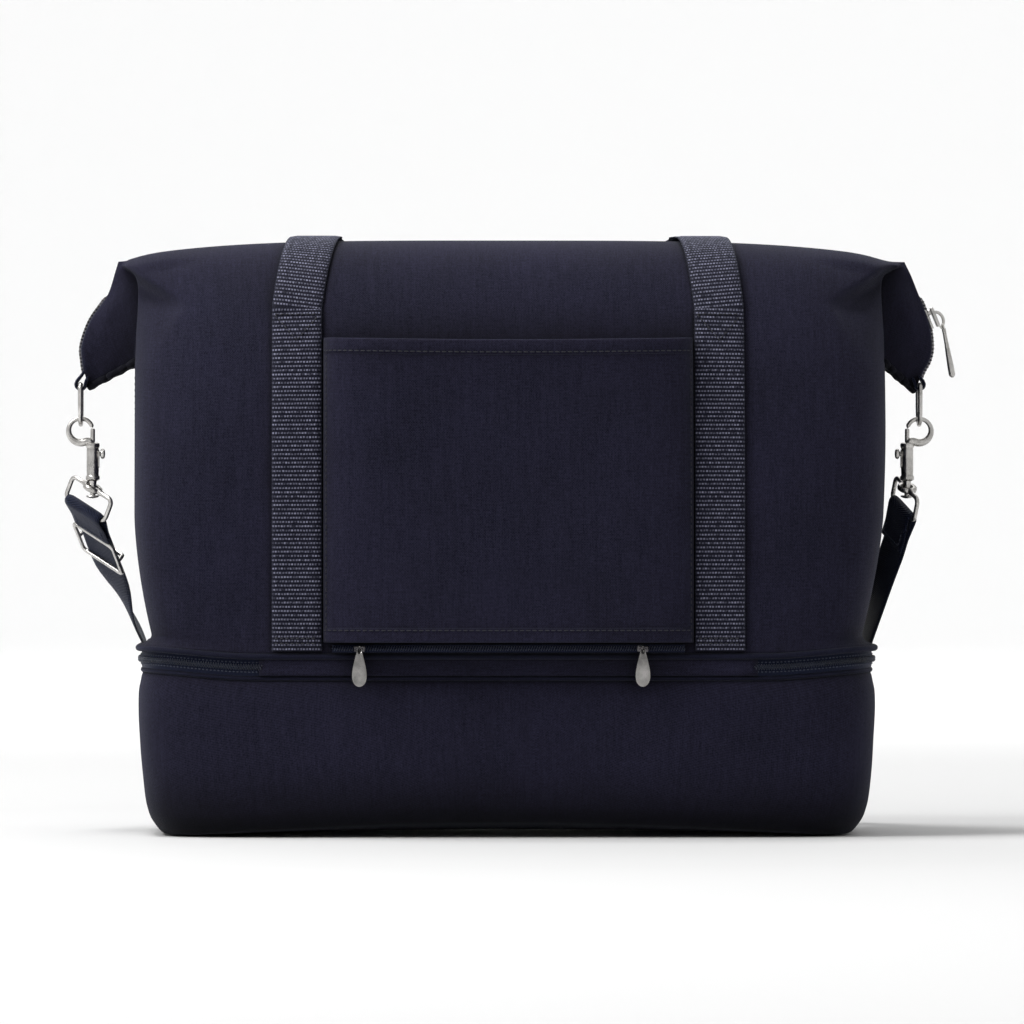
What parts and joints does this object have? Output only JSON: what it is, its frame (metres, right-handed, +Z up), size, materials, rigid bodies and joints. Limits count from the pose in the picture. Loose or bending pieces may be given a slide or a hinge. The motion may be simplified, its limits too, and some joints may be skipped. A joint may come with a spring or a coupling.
{
  "type": "weekender tote bag",
  "caption": "Soft zip-top weekender tote with a zipped base compartment, webbing handles, trolley sleeve and clip-on shoulder strap.",
  "frame": {"origin": "middle of the flat underside of the base compartment", "axes": "+X along the width towards the end that the top zip's slider is parked at, +Y towards the front face (the trolley sleeve is on the -Y face), +Z up"},
  "size_m": [0.5364, 0.2836, 0.3614],
  "materials": {
    "canvas": "matte fine canvas, dark navy",
    "webbing": "ribbed navy webbing with grey flecks and plain edges",
    "zip_tape": "woven zip tape with navy coil teeth",
    "metal_zip": "metal zip teeth on navy tape",
    "nickel": "satin nickel plate",
    "stiffener": "plain stiffener board"
  },
  "bodies": {
    "base": {"base_bottom_panel": "canvas", "base_board": "stiffener", "base_wall": "canvas", "lower_piping": "canvas", "lower_zip_tape": "zip_tape", "zip_hinge_strip": "canvas"},
    "upper_body": {"upper_zip_tape": "zip_tape", "upper_piping": "canvas", "divider_panel": "canvas", "divider_board": "stiffener", "rear_panel": "canvas", "front_panel": "canvas", "main_zip": "metal_zip", "left_ear": "canvas", "right_ear": "canvas", "left_zip_end": "metal_zip", "right_zip_end": "metal_zip", "left_ring_tab": "canvas", "right_ring_tab": "canvas", "rear_left_webbing": "webbing", "rear_right_webbing": "webbing", "front_left_webbing": "webbing", "front_right_webbing": "webbing", "trolley_sleeve": "canvas", "sleeve_zip_tape": "zip_tape"},
    "left_ring": {"left_d_ring": "nickel"},
    "right_ring": {"right_d_ring": "nickel"},
    "shoulder_strap": {"strap_webbing": "webbing", "left_strap_loop": "nickel", "right_strap_loop": "nickel"},
    "adjuster": {"strap_adjuster": "nickel"},
    "left_hook": {"left_hook": "nickel"},
    "left_bolt": {"left_hook_bolt": "nickel"},
    "right_hook": {"right_hook": "nickel"},
    "right_bolt": {"right_hook_bolt": "nickel"},
    "rear_handle": {"rear_handle_left_riser": "webbing", "rear_handle_right_riser": "webbing"},
    "rear_grip": {"rear_handle_grip": "webbing"},
    "front_handle": {"front_handle": "webbing"},
    "main_slider": {"main_zip_slider": "nickel"},
    "main_pull": {"main_zip_pull": "nickel"},
    "sleeve_slider_left": {"sleeve_slider_left": "nickel"},
    "sleeve_pull_left": {"sleeve_pull_left": "nickel"},
    "sleeve_slider_right": {"sleeve_slider_right": "nickel"},
    "sleeve_pull_right": {"sleeve_pull_right": "nickel"},
    "band_slider_left": {"band_slider_left": "nickel"},
    "band_pull_left": {"band_pull_left": "nickel"},
    "band_slider_right": {"band_slider_right": "nickel"},
    "band_pull_right": {"band_pull_right": "nickel"}
  },
  "joints": [
    {"name": "compartment_hinge", "type": "hinge", "parent": "base", "child": "upper_body", "pos_m": [0, -0.104, 0.092], "axis": [1, 0, 0], "range_deg": [0, 75]},
    {"name": "strap_swing", "type": "hinge", "parent": "upper_body", "child": "shoulder_strap", "pos_m": [0, 0, 0.2556], "axis": [1, 0, 0], "range_deg": [0, 85]},
    {"name": "left_ring_swing", "type": "hinge", "parent": "upper_body", "child": "left_ring", "pos_m": [-0.2555, 0, 0.2685], "axis": [0, 1, 0], "range_deg": [-4, 4]},
    {"name": "left_hook_swivel", "type": "hinge", "parent": "shoulder_strap", "child": "left_hook", "pos_m": [-0.2483, 0, 0.2064], "axis": [0, 0, 1], "range_deg": [-12, 12]},
    {"name": "left_bolt_slide", "type": "slide", "parent": "left_hook", "child": "left_bolt", "axis": [0, 0, -1], "range_m": [0, 0.006], "stiffness_N_per_m": 200, "springref_m": -0.003},
    {"name": "right_ring_swing", "type": "hinge", "parent": "upper_body", "child": "right_ring", "pos_m": [0.249, 0, 0.2685], "axis": [0, 1, 0], "range_deg": [-4, 4]},
    {"name": "right_hook_swivel", "type": "hinge", "parent": "shoulder_strap", "child": "right_hook", "pos_m": [0.2418, 0, 0.2064], "axis": [0, 0, 1], "range_deg": [-12, 12]},
    {"name": "right_bolt_slide", "type": "slide", "parent": "right_hook", "child": "right_bolt", "axis": [0, 0, -1], "range_m": [0, 0.006], "stiffness_N_per_m": 200, "springref_m": -0.003},
    {"name": "adjuster_slide", "type": "slide", "parent": "shoulder_strap", "child": "adjuster", "axis": [0.2152, 0.7554, -0.619], "range_m": [0, 0.012]},
    {"name": "rear_handle_raise", "type": "hinge", "parent": "upper_body", "child": "rear_handle", "pos_m": [0, -0.0836, 0.3096], "axis": [1, 0, 0], "range_deg": [0, 56]},
    {"name": "rear_grip_straighten", "type": "hinge", "parent": "rear_handle", "child": "rear_grip", "pos_m": [0, 0, 0.36032], "axis": [1, 0, 0], "range_deg": [0, 82]},
    {"name": "front_handle_raise", "type": "hinge", "parent": "upper_body", "child": "front_handle", "pos_m": [0, 0.0886, 0.30807], "axis": [1, 0, 0], "range_deg": [0, 145]},
    {"name": "main_slider_travel", "type": "slide", "parent": "upper_body", "child": "main_slider", "axis": [-0.3764, 0, 0.9265], "range_m": [0, 0.01]},
    {"name": "main_pull_swing", "type": "hinge", "parent": "main_slider", "child": "main_pull", "pos_m": [0.26337, 0, 0.30494], "axis": [0, 1, 0], "range_deg": [-110, 0]},
    {"name": "sleeve_slider_left_travel", "type": "slide", "parent": "upper_body", "child": "sleeve_slider_left", "axis": [1, 0, 0], "range_m": [-0.008, 0.074]},
    {"name": "sleeve_pull_left_swing", "type": "hinge", "parent": "sleeve_slider_left", "child": "sleeve_pull_left", "pos_m": [-0.088, -0.1092, 0.1125], "axis": [1, 0, 0], "range_deg": [-90, 0]},
    {"name": "sleeve_slider_right_travel", "type": "slide", "parent": "upper_body", "child": "sleeve_slider_right", "axis": [-1, 0, 0], "range_m": [-0.008, 0.065]},
    {"name": "sleeve_pull_right_swing", "type": "hinge", "parent": "sleeve_slider_right", "child": "sleeve_pull_right", "pos_m": [0.079, -0.1092, 0.1125], "axis": [1, 0, 0], "range_deg": [-90, 0]},
    {"name": "band_slider_left_travel", "type": "slide", "parent": "base", "child": "band_slider_left", "axis": [-1, 0, 0], "range_m": [0, 0.13]},
    {"name": "band_pull_left_swing", "type": "hinge", "parent": "band_slider_left", "child": "band_pull_left", "pos_m": [-0.014, 0.1066, 0.1013], "axis": [1, 0, 0], "range_deg": [0, 90]},
    {"name": "band_slider_right_travel", "type": "slide", "parent": "base", "child": "band_slider_right", "axis": [1, 0, 0], "range_m": [0, 0.13]},
    {"name": "band_pull_right_swing", "type": "hinge", "parent": "band_slider_right", "child": "band_pull_right", "pos_m": [0.014, 0.1066, 0.1013], "axis": [1, 0, 0], "range_deg": [0, 90]}
  ],
  "couplings": [
    {"joint": "rear_grip_straighten", "follows": "rear_handle_raise", "ratio": 1.46}
  ]
}
